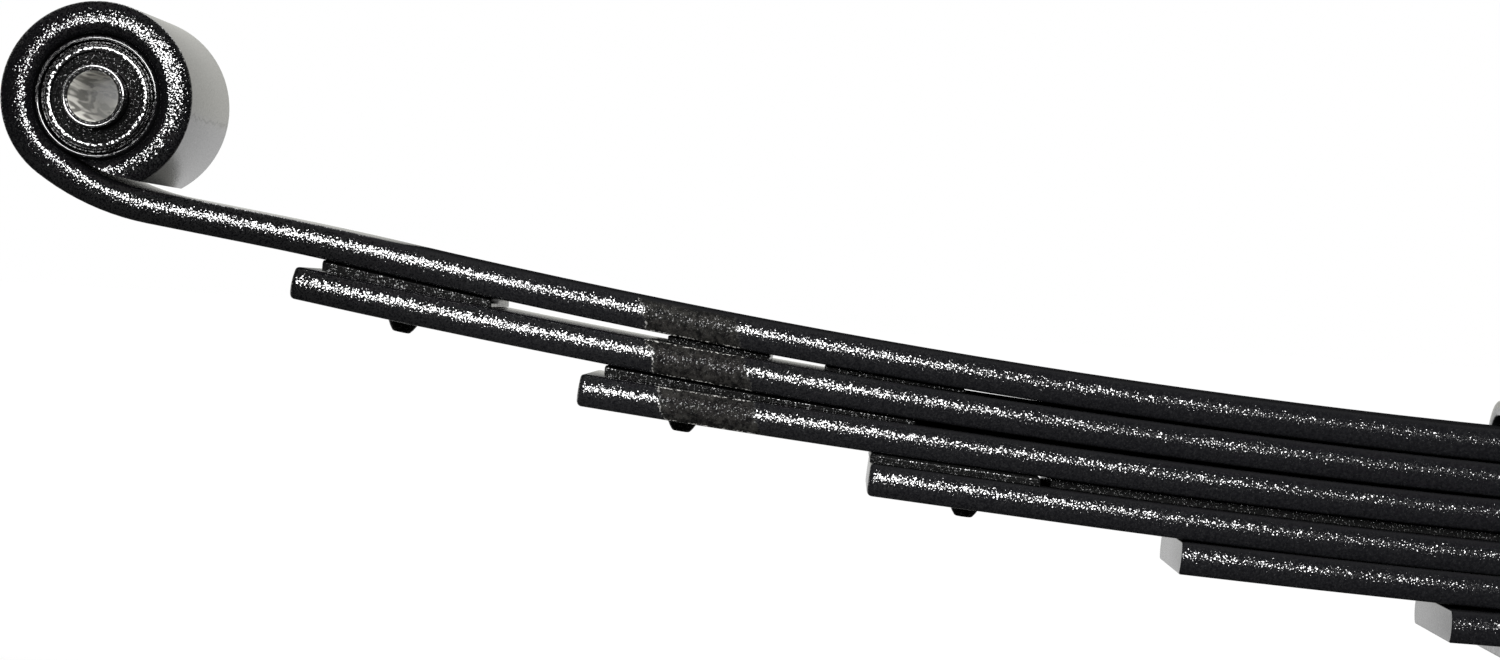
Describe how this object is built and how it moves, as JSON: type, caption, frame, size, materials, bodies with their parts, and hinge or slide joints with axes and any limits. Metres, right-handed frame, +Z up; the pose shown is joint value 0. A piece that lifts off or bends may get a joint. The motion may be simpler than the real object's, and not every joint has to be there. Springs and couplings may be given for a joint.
{
  "type": "leaf spring",
  "caption": "Multi-leaf semi-elliptic leaf spring with an upturned, rubber-bushed eye at each end, a centre bolt, rebound clips and anti-friction tip pads.",
  "frame": {"origin": "on the centre bolt's axis, on the underside of the lowest leaf, where the axle seat meets it", "axes": "+X along the spring towards the rear eye, +Z up towards the main leaf, Y across the leaves along the eyes' axes"},
  "size_m": [1.489, 0.0902, 0.2095],
  "materials": {
    "leaf_paint": "semi-gloss black paint",
    "hardware_paint": "gloss black paint",
    "pad_plastic": "satin, painted over",
    "bush_rubber": "painted over"
  },
  "bodies": {
    "leaf_pack": {"leaf_1": "leaf_paint", "leaf_2": "leaf_paint", "leaf_3": "leaf_paint", "leaf_4": "leaf_paint", "leaf_5": "leaf_paint", "leaf_6": "leaf_paint", "centre_spacer": "leaf_paint", "centre_bolt": "hardware_paint", "centre_nut": "hardware_paint", "front_inner_pad": "pad_plastic", "front_long_liner": "pad_plastic", "front_mid_pad": "pad_plastic", "front_tip_pad_2": "pad_plastic", "front_tip_pad_3": "pad_plastic", "front_tip_pad_4": "pad_plastic", "front_clip": "hardware_paint", "front_clip_rivet": "hardware_paint", "rear_inner_pad": "pad_plastic", "rear_long_liner": "pad_plastic", "rear_mid_pad": "pad_plastic", "rear_tip_pad_2": "pad_plastic", "rear_tip_pad_3": "pad_plastic", "rear_tip_pad_4": "pad_plastic", "rear_clip": "hardware_paint", "rear_clip_rivet": "hardware_paint"},
    "front_eye": {"front_bush_shell": "hardware_paint", "front_bush_rubber": "bush_rubber"},
    "rear_eye": {"rear_bush_shell": "hardware_paint", "rear_bush_rubber": "bush_rubber"},
    "front_sleeve": {"front_bush_sleeve": "hardware_paint"},
    "rear_sleeve": {"rear_bush_sleeve": "hardware_paint"}
  },
  "joints": [
    {"name": "front_flex", "type": "hinge", "parent": "leaf_pack", "child": "front_eye", "pos_m": [-0.22275, 0, 0.0675], "axis": [0, -1, 0], "range_deg": [0, 9.2], "stiffness_Nm_per_rad": 19800, "deforming": ["leaf_1", "leaf_2", "leaf_3", "leaf_4", "leaf_5", "leaf_6"]},
    {"name": "rear_flex", "type": "hinge", "parent": "leaf_pack", "child": "rear_eye", "pos_m": [0.22275, 0, 0.0675], "axis": [0, 1, 0], "range_deg": [0, 9.2], "stiffness_Nm_per_rad": 19800, "deforming": ["leaf_1", "leaf_2", "leaf_3", "leaf_4", "leaf_5", "leaf_6"]},
    {"name": "front_bush_twist", "type": "hinge", "parent": "front_eye", "child": "front_sleeve", "pos_m": [-0.711, 0, 0.16449], "axis": [0, 1, 0], "range_deg": [-20, 20], "stiffness_Nm_per_rad": 80},
    {"name": "rear_bush_twist", "type": "hinge", "parent": "rear_eye", "child": "rear_sleeve", "pos_m": [0.711, 0, 0.16449], "axis": [0, -1, 0], "range_deg": [-20, 20], "stiffness_Nm_per_rad": 80}
  ]
}
